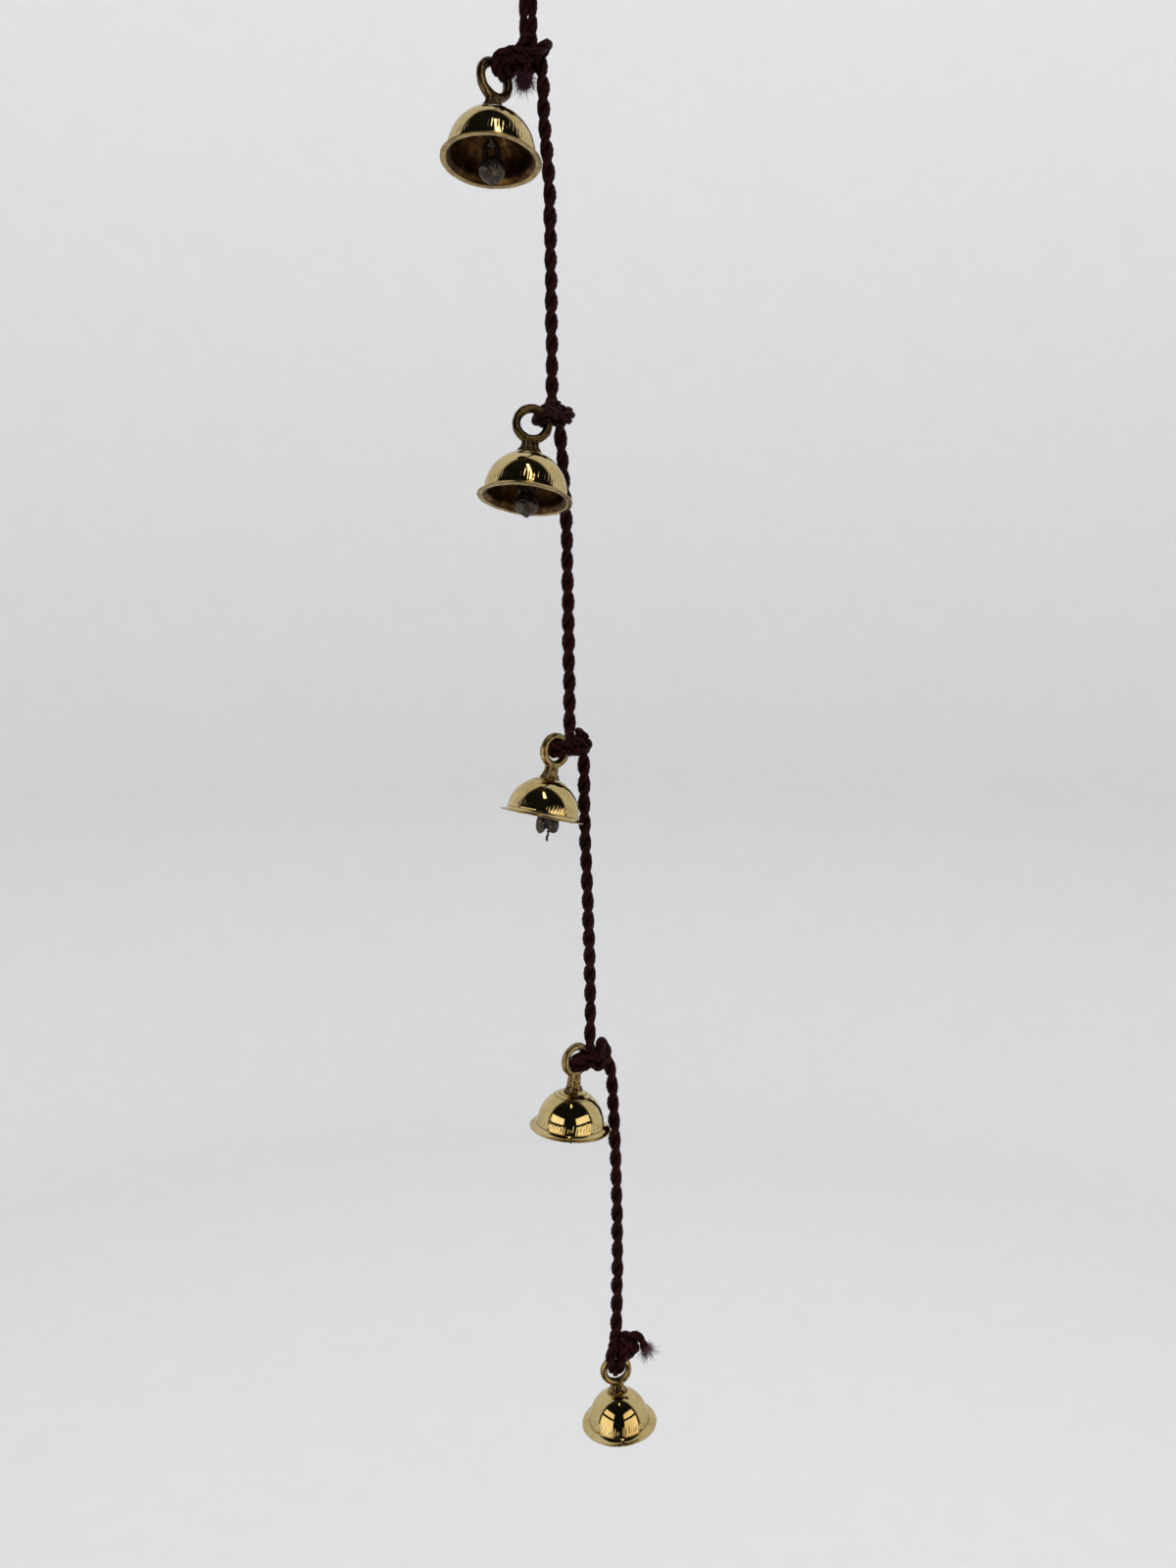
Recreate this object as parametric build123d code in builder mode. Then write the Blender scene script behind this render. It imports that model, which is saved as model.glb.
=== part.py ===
"""A hanging string of five graduated brass bells, tied one below another along a twisted cord.

Millimetres, +Z up, +X to the right and -Y towards the viewer. The origin is the point inside the
top of the hanging loop where a hook carries the string. The cord hangs in the plane Y = 0 and
the bells hang a little in front of it, on the left of the cord.
"""

from build123d import *
from math import cos, radians, sin, sqrt
from collections import namedtuple
import os

os.makedirs("parts", exist_ok=True)

# ---------------------------------------------------------------- the five bells
# diameter: across the lip. rim: centre of the lip's bottom face. tilt: turn about Y, which leans
# the top to the right. tip: turn about X, which brings the mouth forward. dome, staple and ring:
# heights above the rim of the dome's centre, the staple's eye and the ring's centre, as shares of
# the diameter, because the bells are made by hand. ring_turn: turn of the ring about the bell's
# own axis. hang: where the cord holds the ring, in degrees from its top.
Bell = namedtuple("Bell", "diameter rim tilt tip dome staple ring ring_turn hang")
BELLS = [
    Bell(42.0, (-15.2, -9.5, -102.1), 2.4, 7.0, 0.080, 0.372, 0.816, 42, 20),
    Bell(40.0, (-1.6, -15.0, -239.8), 5.2, 11.0, 0.085, 0.400, 0.828, 8, 20),
    Bell(36.4, (4.9, -11.7, -373.9), 11.4, 7.0, 0.045, 0.360, 0.804, 40, 12),
    Bell(35.8, (16.8, -6.5, -514.9), 4.9, 0.0, 0.060, 0.360, 0.876, 40, 20),
    Bell(34.0, (39.4, -4.2, -656.4), -3.6, -2.5, 0.030, 0.345, 0.765, 10, 10),
]

# Shares of the bell's diameter
DOME_R = 0.43  # outside of the dome, a half sphere
WALL = 0.038
LIP_HEIGHT = 0.014
LIP_FACE = 0.06  # width of the flat bottom face
FLARE_TOP = 0.075  # where the lip begins to flare out of the dome
SHANK_R = 0.028  # staple shank and the crown hole that it fills
RING_R = 0.1675  # centreline of the suspension ring
RING_BAR_R = 0.0375
FOOT_SPREAD = 0.085  # half distance between the ring's feet on the crown
STAPLE_R = 0.050
STAPLE_WIRE_R = 0.018
LINK_R = 0.045  # end curves of the wire link
LINK_WIRE_R = 0.016
LINK_BOTTOM = 0.185  # depth of the link's lowest bar below the bar that it hangs on
EYE_R = 0.045  # eye at the top of the clapper
EYE_BAR_R = 0.020
BOB_R = 0.135
BOB_TOP = 0.058  # depths below the clapper's pivot
BOB_WIDEST = 0.185

# ---------------------------------------------------------------- the cord
CORD_R = 2.3  # two plies twisted together, mean radius
GAP = 0.3  # clearance between pieces that turn against each other
LEG_R = 1.8  # each leg of the doubled cord, pressed against the other
LEG_X = 1.85
EYE_INNER_R = 6.0  # inside of the hanging loop's eye
FLANK_ANGLE = 22  # how far each leg leans in under the eye, in degrees
EASE_R = 25.0  # bend where a leg straightens under the eye
LOOP_BALL_R = 3.6
HITCH_R = 1.7  # cord in the turn round the ring's bar
HITCH_GAP = 0.4

# Each knot: x and z of its centre, half its length along X, its radius
Knot = namedtuple("Knot", "x z half radius")
KNOTS = [
    Knot(2.9, -59.0, 6.5, 4.4),
    Knot(13.2, -202.6, 5.6, 4.0),
    Knot(21.8, -343.6, 4.7, 3.9),
    Knot(31.6, -484.8, 6.4, 3.9),
    Knot(41.4, -617.8, 5.0, 3.7),
]
# x where each span of cord leaves the knot above and where it reaches the knot below
SPANS = [(8.4, 9.6), (15.6, 17.0), (23.9, 25.9), (37.5, 38.1)]

TOP_TAIL = ((0.6, 1.2, -60.0), (0.9, 0.8, -72.5), 2.4)  # start, end, radius
BOTTOM_TAIL = ((42.0, 0.0, -617.8), (52.5, -0.6, -621.5), 1.9)

made = []


def save(builder, name):
    """Label one finished sub-part and write its STEP file."""
    builder.part.label = name
    export_step(builder.part, f"parts/{name}.step")
    made.append((name, builder.part.volume))


def rod(start, end, radius):
    """A round straight rod from start to end, added to the part being built."""
    start = Vector(start)
    run = Vector(end) - start
    with BuildSketch(Plane(origin=start, z_dir=run)) as section:
        Circle(radius)
    extrude(section.sketch, amount=run.length)


# ---------------------------------------------------------------- places on one bell


def bell_plane(bell):
    """The bell's own frame: origin at the rim's centre, +Z up its axis."""
    x_dir = Vector(1, 0, 0).rotate(Axis.X, -bell.tip).rotate(Axis.Y, bell.tilt)
    z_dir = Vector(0, 0, 1).rotate(Axis.X, -bell.tip).rotate(Axis.Y, bell.tilt)
    return Plane(origin=bell.rim, x_dir=x_dir, z_dir=z_dir)


def upright(plane):
    """The plane through the axis of plane: its own x, and height as y."""
    return Plane(origin=plane.origin, x_dir=plane.x_dir, z_dir=-plane.y_dir)


def at_height(plane, height):
    return plane.origin + plane.z_dir * height


def ring_plane(bell):
    """The plane of the suspension ring, with the cord's side as its x."""
    base = bell_plane(bell)
    x_dir = base.x_dir.rotate(Axis((0, 0, 0), base.z_dir), bell.ring_turn)
    centre = at_height(base, bell.ring * bell.diameter)
    return Plane(origin=centre, x_dir=x_dir, z_dir=x_dir.cross(base.z_dir))


def hang_point(bell):
    """The centre of the ring's bar where the cord holds it."""
    ring = ring_plane(bell)
    reach = RING_R * bell.diameter
    angle = radians(bell.hang)
    return ring.origin + ring.x_dir * (reach * sin(angle)) + ring.y_dir * (reach * cos(angle))


def link_plane(bell):
    """The wire link's frame: origin at the staple's lowest bar, hanging plumb in the bell's YZ."""
    base = bell_plane(bell)
    up = Vector(0, 0, 1)
    up = (up - base.x_dir * up.dot(base.x_dir)).normalized()
    pivot = at_height(base, (bell.staple - STAPLE_R) * bell.diameter)
    return Plane(origin=pivot, x_dir=up.cross(base.x_dir), z_dir=up)


def clapper_plane(bell):
    """The clapper's frame: origin at the link's lowest bar, hanging plumb."""
    link = link_plane(bell)
    up = Vector(0, 0, 1)
    up = (up - link.x_dir * up.dot(link.x_dir)).normalized()
    pivot = at_height(link, -LINK_BOTTOM * bell.diameter)
    return Plane(origin=pivot, x_dir=link.x_dir, z_dir=up)


# ---------------------------------------------------------------- pieces of one bell


def make_cup(bell, name):
    """Spun dome with a flared lip and a small hole in its crown."""
    d = bell.diameter
    base = bell_plane(bell)
    outer = DOME_R * d
    inner = (DOME_R - WALL) * d
    centre = bell.dome * d
    hole = SHANK_R * d
    crown_out = centre + sqrt(outer**2 - hole**2)
    crown_in = centre + sqrt(inner**2 - hole**2)
    flare = FLARE_TOP * d
    outer_flare = (sqrt(outer**2 - (flare - centre) ** 2), flare)
    inner_flare = (sqrt(inner**2 - (flare - centre) ** 2), flare)
    slope = radians(50)
    with BuildPart() as cup:
        with BuildSketch(upright(base)):
            with BuildLine():
                Line((hole, crown_in), (hole, crown_out))
                ThreePointArc(
                    (hole, crown_out),
                    (outer * cos(slope), centre + outer * sin(slope)),
                    outer_flare,
                )
                ThreePointArc(outer_flare, (0.446 * d, 0.033 * d), (0.5 * d, LIP_HEIGHT * d))
                Line((0.5 * d, LIP_HEIGHT * d), (0.496 * d, 0))
                Line((0.496 * d, 0), ((0.5 - LIP_FACE) * d, 0))
                ThreePointArc(((0.5 - LIP_FACE) * d, 0), (0.404 * d, 0.028 * d), inner_flare)
                ThreePointArc(
                    inner_flare,
                    (inner * cos(slope), centre + inner * sin(slope)),
                    (hole, crown_in),
                )
            make_face()
        revolve(axis=Axis(base.origin, base.z_dir))
    save(cup, name)


def make_ring(bell, name):
    """Bar bent to a ring, whose two ends spread into feet brazed on the crown."""
    d = bell.diameter
    base = bell_plane(bell)
    ring_at = ring_plane(bell)
    side = ring_at.x_dir
    bar = RING_BAR_R * d
    with BuildPart() as ring:
        with Locations(ring_at.location):
            Torus(RING_R * d, bar)
        for way in (-1, 1):
            leg_top = at_height(base, (bell.ring - 0.18) * d) + side * (way * 0.036 * d)
            foot = at_height(base, (bell.dome + 0.395) * d) + side * (way * FOOT_SPREAD * d)
            rod(leg_top, foot, bar)
        with Locations(Location(at_height(base, bell.dome * d))):
            Sphere(DOME_R * d, mode=Mode.SUBTRACT)
    save(ring, name)


def make_staple(bell, name):
    """Iron eye under the crown, with a shank through the crown hole."""
    d = bell.diameter
    base = bell_plane(bell)
    centre = at_height(base, bell.staple * d)
    with BuildPart(Plane(origin=centre, z_dir=base.y_dir)) as staple:
        Torus(STAPLE_R * d, STAPLE_WIRE_R * d)
        top_of_eye = at_height(base, (bell.staple + STAPLE_R) * d)
        rod(top_of_eye, at_height(base, (bell.dome + DOME_R + 0.015) * d), SHANK_R * d)
    save(staple, name)


def make_link(bell, name):
    """Closed loop of iron wire between the staple and the clapper."""
    d = bell.diameter
    at = link_plane(bell)
    end_r = LINK_R * d
    low_centre = -(LINK_BOTTOM - LINK_R) * d
    with BuildPart() as link:
        with BuildLine(upright(at)) as loop:
            JernArc((-end_r, 0), (0, 1), end_r, -180)
            Line((end_r, 0), (end_r, low_centre))
            JernArc((end_r, low_centre), (0, -1), end_r, -180)
            Line((-end_r, low_centre), (-end_r, 0))
        with BuildSketch(loop.line ^ 0.75):
            Circle(LINK_WIRE_R * d)
        sweep(path=loop.line)
    save(link, name)


def make_clapper(bell, name):
    """Iron drop with an eye, hooked on the link's lowest bar."""
    d = bell.diameter
    at = clapper_plane(bell)
    eye_top = (LINK_WIRE_R + EYE_BAR_R) * d + 0.2
    eye_centre = eye_top - EYE_R * d
    bob_r = BOB_R * d
    top = -BOB_TOP * d
    widest = -BOB_WIDEST * d
    slope = radians(45)
    with BuildPart() as clapper:
        with Locations(Plane(origin=at_height(at, eye_centre), z_dir=at.x_dir).location):
            Torus(EYE_R * d, EYE_BAR_R * d)
        with BuildSketch(upright(at)):
            with BuildLine():
                Line((0, top), (0.037 * d, top))
                Spline((0.037 * d, top), (0.100 * d, -0.110 * d), (bob_r, widest))
                ThreePointArc(
                    (bob_r, widest),
                    (bob_r * cos(slope), widest - bob_r * sin(slope)),
                    (0, widest - bob_r),
                )
                Line((0, widest - bob_r), (0, top))
            make_face()
        revolve(axis=Axis(at.origin, at.z_dir))
    save(clapper, name)


def make_hitch(bell, name):
    """The turn of cord round the ring's bar."""
    ring = ring_plane(bell)
    angle = radians(bell.hang)
    along_bar = ring.x_dir * cos(angle) - ring.y_dir * sin(angle)
    turn_r = RING_BAR_R * bell.diameter + HITCH_GAP + HITCH_R
    with BuildPart(Plane(origin=hang_point(bell), z_dir=along_bar)) as hitch:
        Torus(turn_r, HITCH_R)
    save(hitch, name)


# ---------------------------------------------------------------- pieces of the cord


def pivot_above(knot, cord_x, ball_r):
    """Where the cord above bends over this knot: its rounded end just clears the knot."""
    reach = knot.radius + ball_r + GAP
    beside = max(0, abs(cord_x - knot.x) - (knot.half - knot.radius))
    return Vector(cord_x, 0, knot.z + sqrt(reach**2 - beside**2))


def knot_shape(knot):
    """A lump lying along X with round ends, added to the part being built or cut from it."""
    flat = knot.half - knot.radius
    with BuildPart(mode=Mode.PRIVATE) as lump:
        rod((knot.x - flat, 0, knot.z), (knot.x + flat, 0, knot.z), knot.radius)
        with Locations((knot.x - flat, 0, knot.z), (knot.x + flat, 0, knot.z)):
            Sphere(knot.radius)
    return lump.part


def make_hanging_loop(name):
    """One cord taken up, round the hook and down again: an eye above two legs side by side."""
    bend_r = EYE_INNER_R + LEG_R
    low = pivot_above(KNOTS[0], 0, LOOP_BALL_R).Z
    flank = radians(FLANK_ANGLE)
    touch = (bend_r * cos(flank), -EYE_INNER_R - bend_r * sin(flank))
    corner = (LEG_X, touch[1] - (touch[0] - LEG_X) / sin(flank) * cos(flank))
    with BuildPart() as loop:
        with BuildLine(Plane.XZ) as path:
            FilletPolyline((-LEG_X, low), (-LEG_X, corner[1]), (-touch[0], touch[1]), radius=EASE_R)
            ThreePointArc((-touch[0], touch[1]), (0, LEG_R), touch)
            FilletPolyline(touch, corner, (LEG_X, low), radius=EASE_R)
        with BuildSketch(Plane(origin=(-LEG_X, 0, low), z_dir=(0, 0, 1))):
            Circle(LEG_R)
        sweep(path=path.line)
        with Locations((0, 0, low)):
            Sphere(LOOP_BALL_R)
    save(loop, name)


def make_knot(knot, name):
    with BuildPart() as body:
        add(knot_shape(knot))
    save(body, name)


def make_span(number, name):
    """A straight run of cord from its knot down to a rounded end above the next knot."""
    top_x, low_x = SPANS[number]
    above = KNOTS[number]
    end = pivot_above(KNOTS[number + 1], low_x, CORD_R)
    with BuildPart() as span:
        rod((top_x, 0, above.z), end, CORD_R)
        with Locations(end):
            Sphere(CORD_R)
        add(knot_shape(above), mode=Mode.SUBTRACT)
    save(span, name)


def make_tail(tail, knot, name):
    start, end, radius = tail
    with BuildPart() as body:
        rod(start, end, radius)
        add(knot_shape(knot), mode=Mode.SUBTRACT)
    save(body, name)


# ---------------------------------------------------------------- the whole string

for number, bell in enumerate(BELLS, start=1):
    make_cup(bell, f"bell_{number}_cup")
    make_ring(bell, f"bell_{number}_ring")
    make_staple(bell, f"bell_{number}_staple")
    make_link(bell, f"bell_{number}_link")
    make_clapper(bell, f"bell_{number}_clapper")
    make_hitch(bell, f"bell_{number}_hitch")

make_hanging_loop("hanging_loop")
for number, knot in enumerate(KNOTS, start=1):
    make_knot(knot, f"knot_{number}")
for number in range(len(SPANS)):
    make_span(number, f"cord_span_{number + 1}")
make_tail(TOP_TAIL, KNOTS[0], "top_tail")
make_tail(BOTTOM_TAIL, KNOTS[-1], "bottom_tail")

for name, volume in made:
    print(f"{name:16s} {volume:10.1f} mm3")
for number, bell in enumerate(BELLS, start=1):
    for what, point in (
        ("hang", hang_point(bell)),
        ("link", link_plane(bell).origin),
        ("clapper", clapper_plane(bell).origin),
    ):
        print(f"pivot {what}_{number} {point.X:.3f} {point.Y:.3f} {point.Z:.3f}")
for number, knot in enumerate(KNOTS, start=1):
    cord_x = 0 if number == 1 else SPANS[number - 2][1]
    ball = LOOP_BALL_R if number == 1 else CORD_R
    point = pivot_above(knot, cord_x, ball)
    print(f"pivot string_{number} {point.X:.3f} {point.Y:.3f} {point.Z:.3f}")
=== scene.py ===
"""A hanging string of five graduated brass bells tied along a twisted cord, dressed round the
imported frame: engraved brass cups, hand-bent rings, iron clappers on wire links, and the cord with
its knots. Tables are in millimetres, and meshes in metres. +Z is up and -Y is towards the viewer.
"""

from collections import namedtuple
from math import cos, pi, radians, sin, sqrt

import bpy
import numpy as np
from mathutils import Matrix, Vector


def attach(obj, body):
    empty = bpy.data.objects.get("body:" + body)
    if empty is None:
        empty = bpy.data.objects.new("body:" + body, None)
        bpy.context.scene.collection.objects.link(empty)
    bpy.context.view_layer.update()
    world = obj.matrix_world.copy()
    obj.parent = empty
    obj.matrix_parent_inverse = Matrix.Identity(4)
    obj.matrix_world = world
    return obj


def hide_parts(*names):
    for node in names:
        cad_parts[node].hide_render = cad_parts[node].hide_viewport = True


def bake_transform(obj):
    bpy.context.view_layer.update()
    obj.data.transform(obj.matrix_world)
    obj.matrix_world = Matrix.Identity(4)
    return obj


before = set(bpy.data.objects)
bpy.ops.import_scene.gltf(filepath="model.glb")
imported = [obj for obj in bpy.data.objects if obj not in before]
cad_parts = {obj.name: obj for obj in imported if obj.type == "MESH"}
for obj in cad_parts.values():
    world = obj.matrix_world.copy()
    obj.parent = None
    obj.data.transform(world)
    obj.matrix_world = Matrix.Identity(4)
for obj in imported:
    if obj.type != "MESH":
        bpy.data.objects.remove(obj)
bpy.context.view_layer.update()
MM = 0.001

# ---- camera
CAMERA_AT = (0.0249, -0.517, -0.311)
CAMERA_PITCH = 5.5  # degrees below level
camera = bpy.data.objects.new("camera", bpy.data.cameras.new("camera"))
camera.data.lens = 27
camera.data.sensor_width = 36
camera.data.clip_start = 0.01
camera.location = CAMERA_AT
camera.rotation_euler = (radians(90 - CAMERA_PITCH), 0, 0)
bpy.context.scene.collection.objects.link(camera)
bpy.context.scene.camera = camera
bpy.context.scene.view_settings.view_transform = "Standard"

# ---- the five bells, as in the frame
# dome, staple and ring are heights above the rim, as shares of the diameter
Bell = namedtuple("Bell", "diameter rim tilt tip dome staple ring ring_turn hang")
# The dome's radius across, as a share of the diameter: the two smallest have a wider brim
DOME_SHARES = [0.436, 0.436, 0.43, 0.419, 0.405]
BELLS = [
    Bell(42.0, (-15.2, -9.5, -102.1), 2.4, 7.0, 0.080, 0.372, 0.816, 42, 20),
    Bell(40.0, (-1.6, -15.0, -239.8), 5.2, 11.0, 0.085, 0.400, 0.828, 8, 20),
    Bell(36.4, (4.9, -11.7, -373.9), 11.4, 7.0, 0.045, 0.360, 0.804, 40, 12),
    Bell(35.8, (16.8, -6.5, -514.9), 4.9, 0.0, 0.060, 0.360, 0.876, 40, 20),
    Bell(34.0, (39.4, -4.2, -656.4), -3.6, -2.5, 0.030, 0.345, 0.765, 10, 10),
]
# Shares of the bell's diameter
DOME_R = 0.43  # the dome's radius upwards
WALL = 0.038
FLARE_TOP = 0.055  # height above the rim where the dome turns out into the brim
SHANK_R = 0.028
RING_R = 0.1675
RING_BAR_R = 0.0375
STAPLE_R = 0.050
STAPLE_WIRE_R = 0.018
STAPLE_HEAD = (0.034, 0.030, 0.018)
LINK_R = 0.045
LINK_WIRE_R = 0.016
WIRE_FULL = 1.3  # the link's rusted wire over the plain one
LINK_BOTTOM = 0.185
BOB_R = 0.135
BOB_WIDEST = 0.185  # depth of the bob's widest part below the clapper's pivot

# Concentric ridges left round each crown by the lathe: degrees from the axis and height in mm
RIDGES = [
    [(13, 0.08)],
    [(12, 0.10), (17, 0.05)],
    [(13, 0.12), (19, 0.14), (26, 0.12)],
    [(12, 0.10), (21, 0.10), (30, 0.08)],
    [(13, 0.06)],
]
RING_DARK = [0.80, 1.0, 0.15, 0.30, 0.12]  # how dark each ring is painted: some patina, and mostly a painted reflection of the dark room in front
STROKES = 64  # chisel strokes round each cup
STROKE_COLUMNS = 8  # mesh columns to a stroke


# ---- small mesh tools


def unit(v):
    v = np.asarray(v, float)
    return v / np.linalg.norm(v, axis=-1, keepdims=True)


class Place:
    """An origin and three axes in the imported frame, in millimetres."""

    def __init__(self, origin, x, z):
        self.origin = np.asarray(origin, float)
        self.z = unit(z)
        self.x = unit(np.asarray(x, float) - self.z * np.dot(x, self.z))
        self.y = np.cross(self.z, self.x)

    def at(self, points):
        p = np.asarray(points, float)
        return self.origin + p[..., :1] * self.x + p[..., 1:2] * self.y + p[..., 2:3] * self.z


def spin(vector, axis, degrees):
    return np.array(Matrix.Rotation(radians(degrees), 3, Vector(axis)) @ Vector(vector))


def bell_place(bell):
    x = spin((1, 0, 0), (0, 1, 0), bell.tilt)
    z = spin(spin((0, 0, 1), (1, 0, 0), -bell.tip), (0, 1, 0), bell.tilt)
    return Place(bell.rim, x, z)


def ring_place(bell):
    """Origin at the ring's centre, x towards the cord's side, z up the bell, y through the hole."""
    base = bell_place(bell)
    side = spin(base.x, base.z, bell.ring_turn)
    return Place(base.at((0, 0, bell.ring * bell.diameter)), side, base.z)


def hang_point(bell):
    ring = ring_place(bell)
    reach = RING_R * bell.diameter
    return ring.at((reach * sin(radians(bell.hang)), 0, reach * cos(radians(bell.hang))))


def plumb(axis):
    """Straight up, as near as a thing hinged on this axis can hang."""
    up = np.array((0, 0, 1.0))
    return unit(up - axis * np.dot(up, axis))


def link_place(bell):
    base = bell_place(bell)
    up = plumb(base.x)
    pivot = base.at((0, 0, (bell.staple - STAPLE_R) * bell.diameter))
    return Place(pivot, np.cross(up, base.x), up)


def clapper_place(bell):
    link = link_place(bell)
    return Place(link.at((0, 0, -LINK_BOTTOM * bell.diameter)), link.x, plumb(link.x))


def reach_of(line):
    """The length of a line up to each of its points."""
    return np.concatenate([[0], np.cumsum(np.linalg.norm(np.diff(line, axis=0), axis=1))])


def resampled(line, stations, wanted):
    """Points at the wanted stations of a line whose own points are at the given ones."""
    return np.stack([np.interp(wanted, stations, line[:, k]) for k in range(3)], -1)


def grid_faces(rows, columns, closed_rows=False):
    """Quads between rows of points. Each row closes on itself, and the last may meet the first."""
    r = np.arange(rows if closed_rows else rows - 1)
    r, c = np.meshgrid(r, np.arange(columns), indexing="ij")
    r2 = (r + 1) % rows
    c2 = (c + 1) % columns
    quads = (r * columns + c, r * columns + c2, r2 * columns + c2, r2 * columns + c)
    return np.stack(quads, -1).reshape(-1, 4)


def add_object(name, mesh, materials):
    """A smooth object in the scene, of this mesh."""
    for m in materials:
        mesh.materials.append(m)
    mesh.polygons.foreach_set("use_smooth", np.ones(len(mesh.polygons), bool))
    obj = bpy.data.objects.new(name, mesh)
    bpy.context.scene.collection.objects.link(obj)
    return obj


def add_mesh(name, points, faces, materials, face_material=None):
    """A smooth mesh object from points in mm."""
    mesh = bpy.data.meshes.new(name)
    mesh.from_pydata((np.asarray(points) * MM).tolist(), [], [list(map(int, f)) for f in faces])
    obj = add_object(name, mesh, materials)
    if face_material is not None:
        mesh.polygons.foreach_set("material_index", np.asarray(face_material, np.int32))
    mesh.update()
    return obj


def add_value(obj, name, values):
    """A number at each point, which the materials read by name."""
    attribute = obj.data.attributes.new(name, "FLOAT", "POINT")
    attribute.data.foreach_set("value", np.asarray(values, np.float32))


def tube(points, radii, sides=16, closed=False, flat=1.0, flat_dir=None):
    """Points and faces of a tube along points, with a radius at each, oval where flat isn't 1."""
    p = np.asarray(points, float)
    radii = np.broadcast_to(np.asarray(radii, float), (len(p),))
    if closed:
        tangent = unit(np.roll(p, -1, 0) - np.roll(p, 1, 0))
    else:
        tangent = unit(np.gradient(p, axis=0))
    normal = carried_normals(tangent) if flat_dir is None else across(tangent, flat_dir)
    binormal = np.cross(tangent, normal)
    a = np.linspace(0, 2 * pi, sides, endpoint=False)
    ring = (
        normal[:, None] * (np.cos(a)[None, :, None] * flat)
        + binormal[:, None] * np.sin(a)[None, :, None]
    )
    verts = (p[:, None] + ring * radii[:, None, None]).reshape(-1, 3)
    faces = [tuple(f) for f in grid_faces(len(p), sides, closed_rows=closed)]
    if not closed:
        faces.append(tuple(range(sides))[::-1])
        faces.append(tuple(range((len(p) - 1) * sides, len(p) * sides)))
    return verts, faces


def across(tangent, direction):
    d = np.asarray(direction, float)
    return unit(d - tangent * (tangent @ d)[:, None])


def carried_normals(tangent):
    """A normal at each point, carried along the line without twisting."""
    seed = np.array((0, 1.0, 0)) if abs(tangent[0][1]) < 0.9 else np.array((1.0, 0, 0))
    normals = [unit(seed - tangent[0] * np.dot(seed, tangent[0]))]
    for t in tangent[1:]:
        n = normals[-1]
        normals.append(unit(n - t * np.dot(n, t)))
    return np.array(normals)


def joined(parts):
    """Several (points, faces) as one."""
    verts, faces, start = [], [], 0
    for v, f in parts:
        verts.append(v)
        faces += [tuple(int(i) + start for i in face) for face in f]
        start += len(v)
    return np.concatenate(verts), faces


def hoop(wide, tall, angles):
    """Points of an oval that stands in the plane of x and z."""
    return np.stack([wide * np.cos(angles), 0 * angles, tall * np.sin(angles)], -1)


def turned(radii, heights, columns):
    """Points of a profile turned round the z axis, row by row."""
    b = np.linspace(0, 2 * pi, columns, endpoint=False)
    pairs = (radii, np.cos(b)), (radii, np.sin(b)), (heights, np.ones(columns))
    return np.stack([np.outer(*pair) for pair in pairs], -1).reshape(-1, 3)


def ball(centre, radii, place, segments=24):
    """A closed ellipsoid, turned as the place is."""
    a = np.linspace(0, pi, segments // 2 + 1)[1:-1]
    body = turned(np.sin(a), np.cos(a), segments)
    verts = np.concatenate([body, [(0, 0, 1)], [(0, 0, -1)]]) * np.asarray(radii, float)
    faces = [tuple(f) for f in grid_faces(len(a), segments)]
    top, bottom, last = len(body), len(body) + 1, (len(a) - 1) * segments
    for i in range(segments):
        j = (i + 1) % segments
        faces.append((top, j, i))
        faces.append((bottom, last + i, last + j))
    return verts @ np.stack([place.x, place.y, place.z]) + np.asarray(centre, float), faces


def fused(name, parts, voxel, smoothing, materials):
    """The parts melted into one skin, as cast or brazed metal is."""
    verts, faces = joined(parts)
    rough = add_mesh(name + ".rough", verts, faces, [])
    remesh = rough.modifiers.new("remesh", "REMESH")
    remesh.mode = "VOXEL"
    remesh.voxel_size = voxel * MM
    smooth = rough.modifiers.new("smooth", "SMOOTH")
    smooth.iterations = smoothing
    bpy.context.view_layer.update()
    graph = bpy.context.evaluated_depsgraph_get()
    mesh = bpy.data.meshes.new_from_object(rough.evaluated_get(graph))
    mesh.name = name
    bpy.data.objects.remove(rough)
    return add_object(name, mesh, materials)


def sized(shares, diameter):
    return tuple(share * diameter for share in shares)


def lumps(points, size, seed):
    """Soft three-dimensional noise from -1 to 1, with lumps of about that size in mm."""
    from_seed = np.random.default_rng(seed)
    total = np.zeros(len(points))
    for _ in range(6):
        direction = unit(from_seed.normal(size=3)) * (2 * pi / size) * from_seed.uniform(0.7, 1.6)
        total += np.sin(points @ direction + from_seed.uniform(0, 2 * pi))
    return total / 3.2


def points_and_normals(obj):
    """Each vertex's place in mm and its normal."""
    co, normal = np.empty((2, len(obj.data.vertices) * 3))
    obj.data.vertices.foreach_get("co", co)
    obj.data.vertices.foreach_get("normal", normal)
    return co.reshape(-1, 3) / MM, normal.reshape(-1, 3)


def move_points(obj, points):
    obj.data.vertices.foreach_set("co", (points * MM).ravel())
    obj.data.update()


def declare(obj, slot, body, *nodes):
    """The piece stands for these CAD nodes and rides on one body."""
    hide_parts(*nodes)
    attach(obj, body)


# ---- materials


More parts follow.
